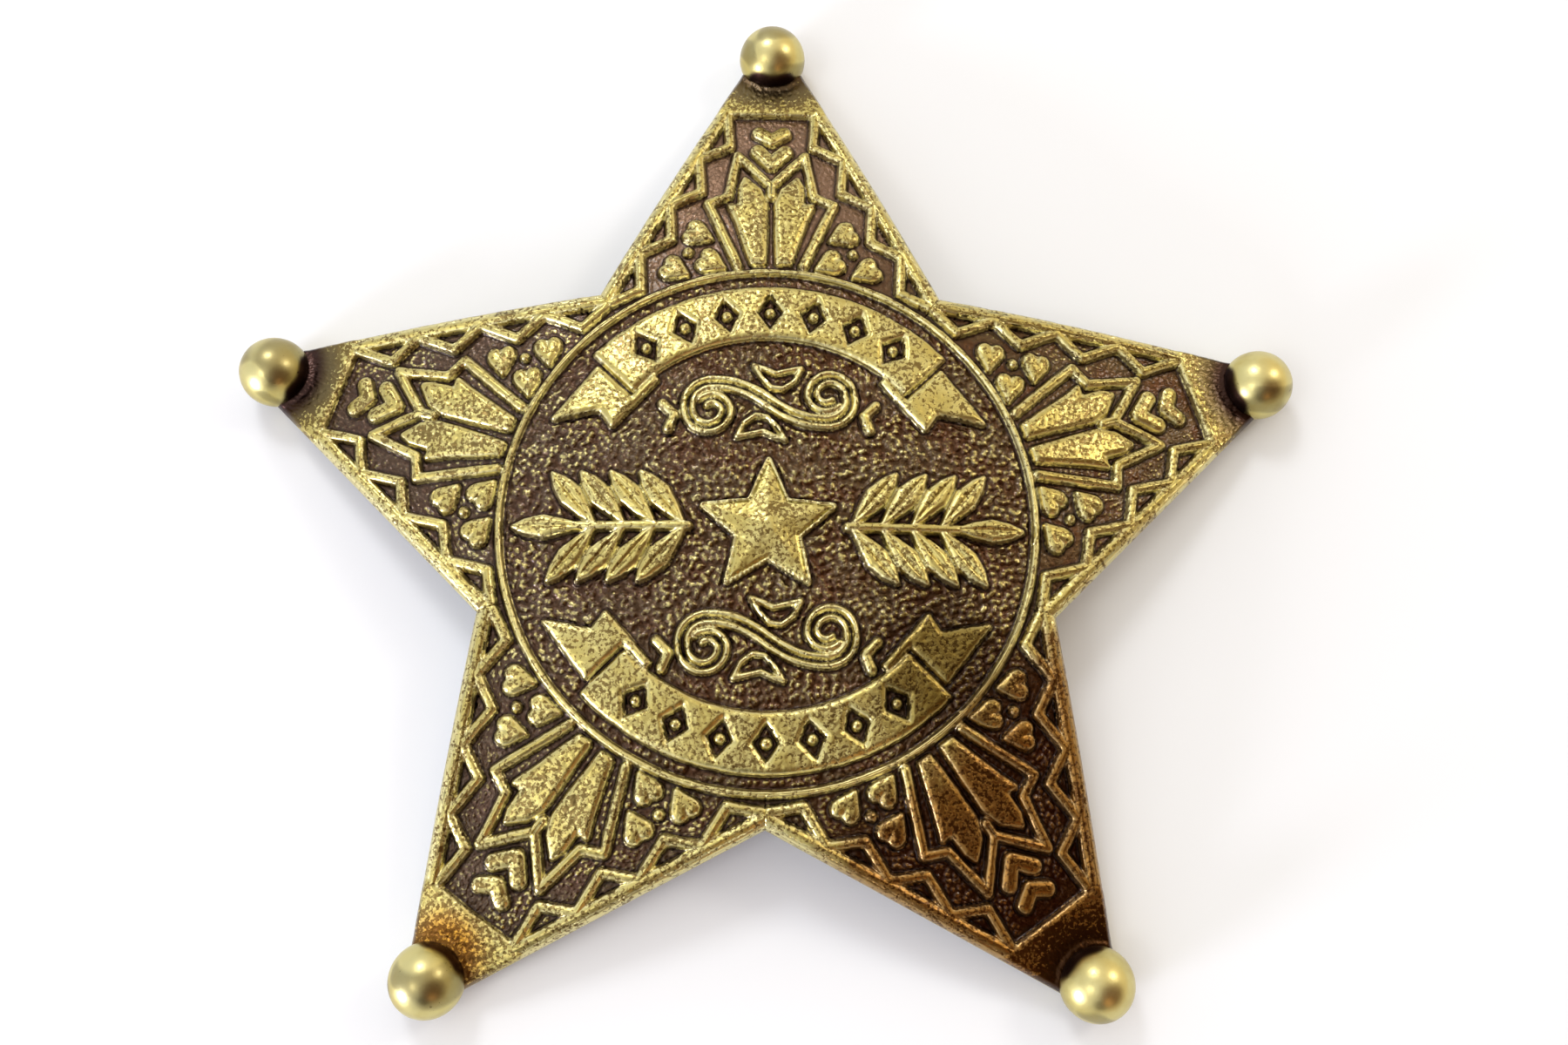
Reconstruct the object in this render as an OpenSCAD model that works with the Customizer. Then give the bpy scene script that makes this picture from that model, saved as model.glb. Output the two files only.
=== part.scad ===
// Five-pointed star badge: one domed casting with cast relief and a ball on each arm,
// and a plain brooch pin riveted to two pads in its hollow back.
// It lies face up on its five balls, with the top arm towards +Y.

/* [Star] */
// Radius of the circle on which the middles of the five balls lie
star_r = 36; // [32:0.5:44]
// How far past the ball's middle the two sides of an arm would meet
tip_run = 3.45; // [2.8:0.05:4.4]
// Radius of the five inner corners between the arms
valley_r = 19.8; // [19:0.1:22]
// Diameter of the ball at the end of each arm
ball_d = 4.8; // [4:0.1:6]
// Height of the ball's middle above the face of the arm
ball_lift = 0.45; // [0.2:0.05:0.7]
// How far the domed face rises from the balls to the middle
dome_rise = 5.5; // [4.5:0.1:8]

/* [Casting] */
// Thickness of the plate under the relief
plate_t = 1.1; // [0.9:0.1:1.5]
// Height of the cast relief above its ground
relief_h = 0.6; // [0.3:0.05:0.9]
// How much higher the emblem stands than the rest of the relief
emblem_lift = 0.2; // [0.1:0.05:0.5]
// Width of the slope from the top of the relief down to its ground
flank = 0.2; // [0.1:0.02:0.3]

/* [Rim and zigzag] */
// Width of the bevel outside the rim
rim_bevel = 0.35; // [0.2:0.05:0.5]
// Width of the raised rim
rim_w = 0.45; // [0.3:0.05:0.6]
// Width of the zigzag line
zigzag_w = 0.32; // [0.2:0.02:0.5]
// Depth of the zigzag, from its outer turns to its inner turns
zigzag_depth = 1.45; // [1:0.05:1.8]
// Number of zigzag cells on each side of an arm
zigzag_cells = 4; // [3:1:5]

/* [Arm ornament] */
// Distance from the star's middle to the plain panel below the ball
panel_r = 31.05; // [29.5:0.05:32.5]
// Width of the strokes of the two chevrons
chevron_w = 0.55; // [0.4:0.05:0.8]
// Width of the palmette's outline
palmette_w = 0.3; // [0.2:0.02:0.4]
// Length of a heart
heart_l = 2.1; // [1.6:0.1:2.4]
// Diameter of the bead between three hearts
bead_d = 0.5; // [0.3:0.05:0.8]

/* [Medallion] */
// Radius of the ring round the medallion
ring_r = 17.65; // [16.5:0.05:18.2]
// Width of the ring
ring_w = 0.28; // [0.2:0.02:0.5]
// Half of the angle over which a ribbon runs
ribbon_half = 46; // [40:1:47]
// Length of a sunk lozenge on the ribbons
lozenge_l = 2.7; // [2:0.1:3]
// Width of a sunk lozenge on the ribbons
lozenge_w = 1.9; // [1.4:0.1:2.1]
// Number of lozenges on a ribbon
lozenges = 7; // [5:2:7]
// Width of each raised line of the scrolls
scroll_line = 0.22; // [0.16:0.02:0.26]
// Distance between the two lines of a scroll
scroll_gap = 0.64; // [0.56:0.02:0.7]
// Width of the raised outline of the small leaves by the scrolls
sprig_line = 0.18; // [0.12:0.02:0.3]

/* [Emblem] */
// Height of the star in the middle of the emblem
emblem_h = 8.6; // [7:0.1:9]
// Number of leaf pairs on each laurel branch
leaf_pairs = 4; // [3:1:4]
// Length of a laurel leaf
leaf_l = 4.9; // [4:0.1:5.2]
// Width of a laurel leaf
leaf_w = 1.5; // [1.1:0.1:1.6]
// Width of the laurel stem
stem_w = 0.45; // [0.3:0.05:0.6]

/* [Brooch pin] */
// Distance of each riveting pad from the middle
pad_x = 9; // [8:0.5:9.5]
// Diameter of a riveting pad
pad_d = 4; // [3:0.1:5]
// Diameter of the rivet cast on each pad
rivet_d = 1.5; // [1.2:0.1:2]
// Clearance round a rivet
rivet_gap = 0.05; // [0.03:0.01:0.1]
// Depth of the bar below the middle of the hollow
bar_drop = 1.1; // [1:0.05:1.3]
// Length of the bar
bar_l = 27; // [25:0.5:28]
// Width of the bar
bar_w = 4; // [3.5:0.1:5]
// Thickness of the bar
bar_t = 0.8; // [0.6:0.1:1]
// Diameter of the pin wire
wire_d = 1; // [0.8:0.1:1.1]
// Depth of the wire's middle below the bar
wire_drop = 1.9; // [1.7:0.05:2]
// Length of the sharpened end of the wire
point_l = 2.5; // [1.5:0.1:4]
// Diameter of the knuckle that the wire springs from
knuckle_d = 2.6; // [2.2:0.1:2.8]
// Width of the knuckle
knuckle_w = 3; // [2:0.1:3.5]
// Wall of the catch round the wire's free end
catch_wall = 0.6; // [0.4:0.05:0.7]
// Clearance between the catch and the wire
catch_gap = 0.15; // [0.1:0.05:0.2]
// Length of the catch
catch_l = 3; // [2:0.1:4]

/* [Hidden] */
arms = 5;
half_arm = 180 / arms;
brass = [0.72, 0.6, 0.3];
steel = [0.75, 0.75, 0.76];

// Concentric spheres give the face, the ground of the relief and the hollow back.
face_r = (star_r * star_r + dome_rise * dome_rise) / (2 * dome_rise);
face_top = ball_d / 2 - ball_lift + dome_rise;
dome_z = face_top - face_r;
ground_r = face_r - relief_h;
back_r = ground_r - plate_t;
hollow_top = dome_z + back_r;
above = face_top + 2;
relief_foot = ball_d / 2 - ball_lift - relief_h - plate_t / 2;

// The object's box is centred on the origin, and the star's middle lies below that.
middle_y = -star_r * (1 - cos(half_arm)) / 2;

// The right side of the top arm, from its inner corner to the point where the sides meet.
tip = [0, star_r + tip_run];
corner = valley_r * [sin(half_arm), cos(half_arm)];
side_dir = unit(tip - corner);
side_out = [side_dir[1], -side_dir[0]];
side_d = tip * side_out;
side_slope = corner[0] / (tip[1] - corner[1]);
side_angle = atan2(side_out[1], side_out[0]);
arm_end = star_r - ball_d / 16; // flat end of an arm, inside its ball

// Zigzag turns, measured along the side from the inner corner.
turn_out = rim_bevel + rim_w + zigzag_w / 2 - flank / 4;
turn_in = turn_out + zigzag_depth;
turn_first = -turn_out * (corner * side_dir) / side_d;
turn_last = (panel_r - corner[1] + turn_out * side_out[1]) / side_dir[1];
turn_step = (turn_last - turn_first) / zigzag_cells;
turn_share = 0.44; // place of an inner turn between two outer ones

// Arm ornament, right half: shares of the length from the ring to the panel,
// across the arm and up from the ring.
ornament_l = panel_r - ring_r;
chevrons = [ // half width, height of the ends, height of the point
    [0.086, 0.890, 0.832],
    [0.090, 0.772, 0.672],
];
palmette = [ // from the middle of the top, down the right side
    [0, 0.526], [0.179, 0.728], [0.224, 0.463], [0.328, 0.414], [0.164, 0.026],
];
palmette_stem = [[0, 0.55], [0, 0.451]];
petal = [ // from the tip, round the side barb and back up the inner side
    [0.142, 0.586], [0.168, 0.519], [0.168, 0.407], [0.231, 0.414], [0.190, 0.317],
    [0.146, 0.183], [0.101, 0.045], [0.030, 0.045], [0.022, 0.250], [0.022, 0.414],
    [0.056, 0.504],
];
heart_tips = [[0.299, 0.190], [0.414, -0.022], [0.228, 0.019]];
bead_at = [0.425, 0.119];
heart_half = [ // shares of its length: along it from the tip, and to the side
    [0, 0], [0.52, 0.36], [0.68, 0.43], [0.84, 0.41], [0.96, 0.30], [0.98, 0.17], [0.92, 0.05],
    [0.80, 0],
];

// Medallion: shares of the ring's radius.
ribbon_in = 0.714 * ring_r;
ribbon_out = 0.929 * ring_r;
ribbon_steps = 12;
lozenge_r = (ribbon_in + ribbon_out) / 2;
lozenge_step = 2 * (ribbon_half - 11) / (lozenges - 1);
ribbon_tail = [
    [0.439, 0.558], [0.519, 0.466], [0.653, 0.596], [0.824, 0.380], [0.635, 0.416],
    [0.589, 0.348], [0.419, 0.538],
];
scroll_y = 0.450 * ring_r;
scroll_unit = ring_r / 17.65; // scrolls are drawn in millimetres for a ring of this radius
spiral_mid = [-4.05, -0.5];
spiral_radii = [[90, 1.85], [180, 1.32], [270, 1.3], [360, 1.2], [450, 0.68], [495, 0.58]];
spiral_step = 27;
spiral_turn = 405;
band_bend = [[0, 0], [-1.2, 0.85], [-2.3, 1.45], [-4.05, 1.35]];
band_steps = 5;
sprig = [
    [-1.3, 2.8], [-0.35, 2.5], [0.4, 2.15], [1.2, 2.35], [2.3, 2.6], [1.75, 1.45],
    [0.95, 0.85], [0.1, 0.95], [-0.6, 1.7],
];
bracket = [[7.2, 0], [6.3, -0.9], [6.75, -2]];
bracket_w = 0.5;

// Emblem: a star between two laurel branches.
emblem_y = -0.034 * ring_r;
emblem_r = emblem_h / (1 + cos(half_arm));
emblem_waist = 0.46;
branch_x = 1.06 * emblem_r;
branch_end = 0.76 * ring_r;
leaf_step = (branch_end - branch_x) / leaf_pairs * 0.93;
leaf_angle = 50;
leaf_half = [[0, 0], [0.3, 0.62], [0.55, 1], [0.8, 0.66], [1, 0]]; // shares of length and half width

// Brooch pin heights.
bar_top = hollow_top - bar_drop;
bar_low = bar_top - bar_t;
wire_z = bar_low - wire_drop;
rivet_end = bar_low - 0.3;
knuckle_x = -bar_l / 2 + knuckle_d / 2;
catch_r = wire_d / 2 + catch_gap + catch_wall;
catch_x = bar_l / 2 - catch_l - 0.5;

function unit(v) = v / norm(v);
function left_of(v) = [-v[1], v[0]];
function polar(r, a) = r * [cos(a), sin(a)];
function turned(p, a) = [p[0] * cos(a) - p[1] * sin(a), p[0] * sin(a) + p[1] * cos(a)];
function mirrored(p) = [-p[0], p[1]];
function reversed(list) = [for (i = [len(list) - 1:-1:0]) list[i]];
function without_ends(list) = [for (i = [1:len(list) - 2]) list[i]];

// Direction along a path before and after its point i, and the mitre to its left there.
function before(p, i) = unit(p[max(i, 1)] - p[max(i, 1) - 1]);
function after(p, i) = unit(p[min(i, len(p) - 2) + 1] - p[min(i, len(p) - 2)]);
function mitre(p, i) =
    let (m = unit(left_of(before(p, i)) + left_of(after(p, i))))
    m / max(0.45, m * left_of(after(p, i)));
function beside(p, d) = [for (i = [0:len(p) - 1]) p[i] + d * mitre(p, i)];
function stroke(p, w, shift = 0) =
    concat(beside(p, shift + w / 2), reversed(beside(p, shift - w / 2)));

// A point s along the right side of the top arm and d in from it.
function from_side(s, d) = corner + s * side_dir - d * side_out;
function on_arm(p) = [p[0] * ornament_l, ring_r + p[1] * ornament_l];
function both_halves(half) = concat(half, [for (p = reversed(without_ends(half))) [p[0], -p[1]]]);

function bezier(c, t) =
    pow(1 - t, 3) * c[0] + 3 * pow(1 - t, 2) * t * c[1] + 3 * (1 - t) * t * t * c[2] + pow(t, 3) * c[3];
half_scroll = concat(
    [for (i = [0:band_steps - 1]) bezier(band_bend, i / band_steps)],
    [for (a = [90:spiral_step:90 + spiral_turn]) spiral_mid + polar(lookup(a, spiral_radii), a)]
);
scroll_path = concat(reversed(half_scroll), [for (i = [1:len(half_scroll) - 1]) -half_scroll[i]]);

// The plan of the star, drawn in by `inset`, with each arm cut off flat at `end`.
module star_plan(inset, end = arm_end) {
    k = (side_d - inset) / side_d;
    end_w = (k * tip[1] - end) * side_slope;
    polygon([
        for (arm = [0:arms - 1], p = [[end_w, end], [-end_w, end], k * mirrored(corner)])
            turned(p, arm * 360 / arms)
    ]);
}

module zigzag() {
    turns = [
        for (i = [0:zigzag_cells]) each [
            from_side(turn_first + i * turn_step, turn_out),
            if (i < zigzag_cells) from_side(turn_first + (i + turn_share) * turn_step, turn_in)
        ]
    ];
    polygon(stroke(turns, zigzag_w));
}

// The plain face below the ball, which runs into the middle of the rim.
module panel() {
    k = (side_d - rim_bevel - rim_w / 2) / side_d;
    low_w = (k * tip[1] - panel_r) * side_slope;
    high_w = (k * tip[1] - arm_end) * side_slope;
    polygon([[-low_w, panel_r], [low_w, panel_r], [high_w, arm_end], [-high_w, arm_end]]);
}

module heart() {
    polygon(heart_l * both_halves(heart_half));
}

module half_arm_ornament() {
    polygon([for (p = petal) on_arm(p)]);
    for (p = heart_tips) translate(on_arm(p)) rotate(side_angle) heart();
    translate(on_arm(bead_at)) circle(d = bead_d, $fn = 8);
}

module arm_ornament() {
    half_arm_ornament();
    mirror([1, 0]) half_arm_ornament();
    for (c = chevrons) {
        polygon(stroke([for (p = [[-c[0], c[1]], [0, c[2]], [c[0], c[1]]]) on_arm(p)], chevron_w));
    }
    right = [for (p = palmette) on_arm(p)];
    left = [for (p = reversed(right)) mirrored(p)];
    polygon(stroke(concat(left, [for (i = [1:len(right) - 1]) right[i]]), palmette_w));
    polygon(stroke([for (p = palmette_stem) on_arm(p)], palmette_w));
}

module rim_plan() {
    difference() {
        star_plan(rim_bevel);
        star_plan(rim_bevel + rim_w, star_r); // open at the ball
    }
}

// The zigzags and panels of all arms, which meet in one closed line inside the rim.
module zigzag_plan() {
    for (arm = [0:arms - 1]) rotate(arm * 360 / arms) {
        zigzag();
        mirror([1, 0]) zigzag();
        panel();
    }
}

module lozenge() {
    polygon([[0, lozenge_l / 2], [lozenge_w / 2, 0], [0, -lozenge_l / 2], [-lozenge_w / 2, 0]]);
}

// A curved ribbon over the top of the medallion, with sunk lozenges and swallow-tailed ends.
module ribbon_plan() {
    angles = [for (i = [0:ribbon_steps]) 90 + ribbon_half * (1 - 2 * i / ribbon_steps)];
    difference() {
        polygon(concat([for (a = angles) polar(ribbon_out, a)],
                       [for (a = reversed(angles)) polar(ribbon_in, a)]));
        for (i = [0:lozenges - 1]) {
            rotate((i - (lozenges - 1) / 2) * lozenge_step) translate([0, lozenge_r]) lozenge();
        }
    }
    for (i = [0:lozenges - 1]) {
        rotate((i - (lozenges - 1) / 2) * lozenge_step) translate([0, lozenge_r]) circle(d = bead_d, $fn = 8);
    }
    for (side = [1, -1]) polygon([for (p = ribbon_tail) ring_r * [side * p[0], p[1]]]);
}

module sprig_plan() {
    difference() {
        polygon(sprig);
        offset(delta = -sprig_line - flank / 2) polygon(sprig);
    }
}

// A double-lined scroll with a leaf above and below and a bracket at each end.
module scroll_plan() {
    for (side = [1, -1]) {
        polygon(stroke(scroll_path, scroll_line, side * scroll_gap / 2));
        rotate(90 - 90 * side) sprig_plan();
        polygon([for (p = stroke(bracket, bracket_w)) [side * p[0], p[1]]]);
    }
}

module branch() {
    translate([branch_x, -stem_w / 2]) square([branch_end - branch_x, stem_w]);
    leaf = [for (p = both_halves(leaf_half)) [p[0] * leaf_l, p[1] * leaf_w / 2]];
    for (i = [0:leaf_pairs - 1], side = [1, -1]) {
        translate([branch_x + (i + 0.15) * leaf_step, 0]) rotate(side * leaf_angle) polygon(leaf);
    }
    translate([branch_end - leaf_l * 0.3, 0]) polygon(leaf);
}

module emblem_plan() {
    polygon([
        for (arm = [0:arms - 1]) each [
            polar(emblem_r, 90 + arm * 2 * half_arm),
            polar(emblem_waist * emblem_r, 90 + (arm * 2 + 1) * half_arm)
        ]
    ]);
    branch();
    mirror([1, 0]) branch();
}

// The poles of the sphere lie in the floor plane, well clear of the casting.
module ball_of(r) {
    translate([0, 0, dome_z]) rotate([90, 0, 0]) sphere(r, $fn = 200);
}

// Relief with its plan given, up to `lift` above the face. Its sides slope, and the solid
// takes them upright at the middle of the slope. Its foot stands inside the plate.
module raised(lift = 0) {
    intersection() {
        translate([0, 0, relief_foot]) linear_extrude(above) offset(delta = flank / 2) children();
        ball_of(face_r + lift);
    }
}

module ring() {
    intersection() {
        translate([0, 0, relief_foot]) difference() {
            cylinder(r = ring_r + (ring_w + flank) / 2, h = above, $fn = 120);
            translate([0, 0, -1]) cylinder(r = ring_r - (ring_w + flank) / 2, h = above + 2, $fn = 120);
        }
        ball_of(face_r);
    }
}

// The domed plate with its relief, hollow behind.
module shell() {
    difference() {
        union() {
            intersection() {
                linear_extrude(above) star_plan(0);
                ball_of(ground_r);
            }
            raised() rim_plan();
            raised() zigzag_plan();
            for (arm = [0:arms - 1]) rotate(arm * 360 / arms) raised() arm_ornament();
            ring();
            for (side = [1, -1]) {
                raised() mirror([0, side > 0 ? 0 : 1]) ribbon_plan();
                raised() translate([0, side * scroll_y]) scale(scroll_unit) scroll_plan();
            }
            raised(emblem_lift) translate([0, emblem_y]) emblem_plan();
        }
        ball_of(back_r);
    }
}

module balls() {
    for (arm = [0:arms - 1]) {
        rotate(arm * 360 / arms) translate([0, star_r, ball_d / 2]) sphere(d = ball_d, $fn = 96);
    }
}

// Pads with cast rivets that carry the pin's bar.
module pads() {
    for (side = [1, -1]) translate([side * pad_x, 0]) {
        translate([0, 0, bar_top]) cylinder(d = pad_d, h = hollow_top - bar_top + plate_t / 4, $fn = 48);
        translate([0, 0, rivet_end]) cylinder(d = rivet_d, h = bar_top - rivet_end + 0.5, $fn = 48);
    }
}

module star() {
    color(brass) translate([0, middle_y, 0]) {
        shell();
        balls();
        pads();
    }
}

module bar() {
    difference() {
        translate([-bar_l / 2, -bar_w / 2, bar_low]) cube([bar_l, bar_w, bar_t]);
        for (side = [1, -1]) {
            translate([side * pad_x, 0, bar_low - 1]) cylinder(d = rivet_d + 2 * rivet_gap, h = bar_t + 2, $fn = 48);
        }
    }
}

module wire() {
    shaft_l = catch_x + catch_l - knuckle_x - point_l;
    translate([knuckle_x, 0, wire_z]) rotate([0, 90, 0]) {
        cylinder(d = wire_d, h = shaft_l, $fn = 32);
        translate([0, 0, shaft_l]) cylinder(d1 = wire_d, d2 = wire_d / 8, h = point_l, $fn = 32);
    }
}

module knuckle() {
    translate([knuckle_x, knuckle_w / 2, wire_z]) rotate([90, 0, 0]) cylinder(d = knuckle_d, h = knuckle_w, $fn = 48);
    translate([knuckle_x - knuckle_d / 2, -knuckle_w / 2, wire_z]) cube([knuckle_d, knuckle_w, wire_drop + bar_t / 2]);
}

// A hook round the free end of the wire, open towards -Y.
module catch() {
    difference() {
        translate([catch_x, 0, wire_z]) rotate([0, 90, 0]) cylinder(r = catch_r, h = catch_l, $fn = 48);
        translate([catch_x - 1, 0, wire_z]) rotate([0, 90, 0]) cylinder(r = catch_r - catch_wall, h = catch_l + 2, $fn = 48);
        translate([catch_x - 1, -2 * catch_r, wire_z - wire_d / 2 - catch_gap]) {
            cube([catch_l + 2, 2 * catch_r, wire_d + 2 * catch_gap]);
        }
    }
    foot_z = wire_z + catch_r - catch_wall / 2;
    translate([catch_x, -catch_r / 2, foot_z]) cube([catch_l, catch_r, bar_low + bar_t / 2 - foot_z]);
}

module brooch_pin() {
    color(steel) translate([0, middle_y, 0]) {
        bar();
        wire();
        knuckle();
        catch();
    }
}

star();
brooch_pin();
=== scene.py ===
from math import atan2, cos, radians, sin

import bpy
import numpy as np
from mathutils import Matrix, Vector


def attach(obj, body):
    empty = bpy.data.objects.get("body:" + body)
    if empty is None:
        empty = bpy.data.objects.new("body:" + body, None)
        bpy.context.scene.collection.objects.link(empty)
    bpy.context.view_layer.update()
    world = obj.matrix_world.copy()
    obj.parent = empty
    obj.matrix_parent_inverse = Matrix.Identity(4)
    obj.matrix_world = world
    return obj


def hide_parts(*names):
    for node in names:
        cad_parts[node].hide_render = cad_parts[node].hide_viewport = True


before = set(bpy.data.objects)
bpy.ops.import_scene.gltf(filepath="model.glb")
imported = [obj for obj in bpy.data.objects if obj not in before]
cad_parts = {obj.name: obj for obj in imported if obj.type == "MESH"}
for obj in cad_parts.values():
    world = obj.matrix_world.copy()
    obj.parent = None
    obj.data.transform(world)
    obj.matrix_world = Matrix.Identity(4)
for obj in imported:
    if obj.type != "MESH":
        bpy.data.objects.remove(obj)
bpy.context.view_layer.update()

# The medallion is the round middle of the star, cast in one with it: a stippled ground
# inside a thin ring, with two ribbons, two scrolls and a star between laurel branches
# standing in relief. It is antique brass, dark in the ground and worn pale on top.
MM = 0.001
star_r, dome_rise = 36.0, 5.5
ball_d, ball_lift = 4.8, 0.45
plate_t, relief_h, emblem_lift, flank = 1.1, 0.6, 0.2, 0.2
face_r = (star_r**2 + dome_rise**2) / (2 * dome_rise)
face_top = ball_d / 2 - ball_lift + dome_rise
dome_z = face_top - face_r
ground_r = face_r - relief_h
back_r = ground_r - plate_t
middle_y = -star_r * (1 - cos(radians(36))) / 2
ring_r, ring_w = 17.65, 0.28
shoulder = 0.03  # how far the rounding at the top and foot of a flank reaches past it
crown_w, crown_drop = 0.32, 0.12  # a raised top falls by this much, over this width, to its edge
skirt_h = 0.3  # how deep a face's border goes down into the plate
bead_d, corner_r = 0.5, 0.1


def smooth(t):
    """A step from 0 to 1 that leaves and arrives level: 3 t^2 - 2 t^3 of t held between 0 and 1."""
    t = np.clip(t, 0, 1)
    return t * t * (3 - 2 * t)


def lumps(plan, size, seed):
    """Smooth noise from -1 to 1: random heights on a square lattice of this size in mm, with the
    smooth step blending the four corners round each point."""
    table = np.random.default_rng(seed).uniform(-1, 1, (256, 256))
    q = plan / size + 4096
    cell = np.floor(q).astype(int)
    f = smooth(q - cell)
    i, j = (cell % 256).T
    k, m = ((cell + 1) % 256).T
    low = table[i, j] * (1 - f[:, 0]) + table[k, j] * f[:, 0]
    high = table[i, m] * (1 - f[:, 0]) + table[k, m] * f[:, 0]
    return low * (1 - f[:, 1]) + high * f[:, 1]


def grains(plan, size, seed, spread=0.5):
    """Round grains, 0 to 1: each lattice cell holds one point at a random place, and the grain
    round it falls off with the square of the distance to it, to nothing at this share of a cell."""
    table = np.random.default_rng(seed).random((256, 256, 2))
    q = plan / size + 4096
    cell = np.floor(q).astype(int)
    nearest = np.full(len(q), 9.0)
    for step in np.ndindex(3, 3):
        c = cell + np.array(step) - 1
        off = q - c - table[c[:, 0] % 256, c[:, 1] % 256]
        nearest = np.minimum(nearest, (off**2).sum(1))
    return np.clip(1 - nearest / spread**2, 0, 1)


def turned(points, degrees):
    """Points turned round the star's middle, anticlockwise."""
    c, s = cos(radians(degrees)), sin(radians(degrees))
    points = np.asarray(points, float)
    return np.c_[points[:, 0] * c - points[:, 1] * s, points[:, 0] * s + points[:, 1] * c]


def beside(path, shift):
    """A path moved sideways by a shift. Each point moves along the mitre, the mean of the
    left-hand normals before and after it, stretched to keep the distance."""
    step = np.diff(path, axis=0)
    step /= np.linalg.norm(step, axis=1)[:, None]
    left = np.c_[-step[:, 1], step[:, 0]]
    before, after = np.vstack([left[:1], left]), np.vstack([left, left[-1:]])
    mitre = before + after
    return path + shift * mitre / (mitre * after).sum(1)[:, None]


def nearest_edge(points, start, edge):
    """The vector to each point from the nearest place on any of these straight edges, and its
    length. That place is where the point's projection on an edge falls, held to its two ends."""
    from_start = points[:, None] - start
    share = np.clip((from_start * edge).sum(2) / np.maximum((edge**2).sum(1), 1e-12), 0, 1)
    off = from_start - share[..., None] * edge
    square = (off**2).sum(2)
    nearest = square.argmin(1)
    rows = np.arange(len(points))
    return off[rows, nearest], np.sqrt(square[rows, nearest])


def inside(points, outline):
    """The distance of each point to the outline's nearest edge, positive inside, and the unit
    vector in which it grows. A point is inside where a line from it to the right crosses an
    odd number of edges."""
    edge = np.roll(outline, -1, axis=0) - outline
    off, distance = nearest_edge(points, outline, edge)
    y, low, high = points[:, 1:], outline[:, 1], outline[:, 1] + edge[:, 1]
    crossing = outline[:, 0] + (y - low) * edge[:, 0] / np.where(edge[:, 1] == 0, 1e-9, edge[:, 1])
    odd = (((low > y) != (high > y)) & (points[:, :1] < crossing)).sum(1) % 2 == 1
    sign = np.where(odd, 1.0, -1.0)
    return sign * distance, off * (sign / np.maximum(distance, 1e-9))[:, None]


def drawn_in(outline, inset):
    """An outline drawn in on all sides: each edge moves in and meets its neighbours again."""
    onward = np.roll(outline, -1, axis=0)
    step = (onward - outline) / np.linalg.norm(onward - outline, axis=1)[:, None]
    turn = np.sign((outline[:, 0] * onward[:, 1] - outline[:, 1] * onward[:, 0]).sum())
    inward = turn * np.c_[-step[:, 1], step[:, 0]]
    mitre = inward + np.roll(inward, 1, axis=0)
    mitre /= (mitre * inward).sum(1)[:, None]
    return outline + inset * mitre


class Relief:
    """A plan with raised ornament: how deep each point lies inside it in mm, negative outside,
    and the direction in which that depth grows."""

    reach = 1.0

    def __init__(self, plan):
        self.plan = plan
        self.depth = np.full(len(plan), -self.reach)
        self.toward = np.zeros_like(plan)

    def put(self, where, depth, toward, sunk=False):
        """A raised form keeps the larger depth. A sunk one takes its own depth away."""
        if sunk:
            depth, toward = -depth, -toward
        wins = depth < self.depth[where] if sunk else depth > self.depth[where]
        self.depth[where[wins]] = depth[wins]
        self.toward[where[wins]] = toward[wins]

    def near(self, points, reach):
        """The plan's points in the box round some points, and this far outside it."""
        beyond = (self.plan < points.min(0) - reach) | (self.plan > points.max(0) + reach)
        return np.flatnonzero(~beyond.any(1))

    def outline(self, outline, corner=0.0, sunk=False):
        """A form with a closed outline, whose corners that point out are rounded by a radius."""
        outline = np.asarray(outline, float)
        where = self.near(outline, self.reach)
        depth, toward = inside(self.plan[where], drawn_in(outline, corner))
        self.put(where, depth + corner, toward, sunk)

    def line(self, path, width):
        """A line of even width along an open path. Its turns and ends are round, and the path's
        ends are drawn in by a third of the width, so that the line ends about where the path does."""
        path = np.array(path, float)
        for end, second in ((0, 1), (-1, -2)):
            back = path[second] - path[end]
            path[end] += back / np.linalg.norm(back) * width / 3
        where = self.near(path, self.reach + width / 2)
        off, distance = nearest_edge(self.plan[where], path[:-1], np.diff(path, axis=0))
        self.put(where, width / 2 - distance, -off / np.maximum(distance, 1e-9)[:, None])

    def bead(self, centre, radius):
        """A round form: the depth is the radius less the distance to its middle."""
        where = self.near(np.array([centre]), radius + self.reach)
        off = self.plan[where] - centre
        distance = np.linalg.norm(off, axis=1)
        self.put(where, radius - distance, -off / np.maximum(distance, 1e-9)[:, None])


def drawn_to_lines(plan, depth, toward, row, column, free):
    """Points that lie within half a grid cell of the shoulder or foot of a flank move onto that
    line, along the direction of depth. A cell measures row outwards and column sideways, so the
    move stays below 0.45 of both. Points that aren't free stay."""
    out = plan / np.maximum(np.linalg.norm(plan, axis=1), 1e-9)[:, None]
    along = np.abs((toward * out).sum(1))
    across = np.abs(toward[:, 0] * out[:, 1] - toward[:, 1] * out[:, 0])
    room = 0.45 * np.minimum(row / np.maximum(along, 1e-6), column / np.maximum(across, 1e-6))
    plan, depth = plan.copy(), depth.copy()
    for line in (shoulder, -flank - shoulder):
        off = line - depth
        moves = free & toward.any(1) & (np.abs(off) < room)
        plan[moves] += toward[moves] * off[moves, None]
        depth[moves] = line
    return plan, depth


def on_dome(plan, radius):
    """Height of a point of the plan on a sphere round the dome's centre."""
    return dome_z + np.sqrt(radius**2 - (plan**2).sum(-1))


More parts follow.
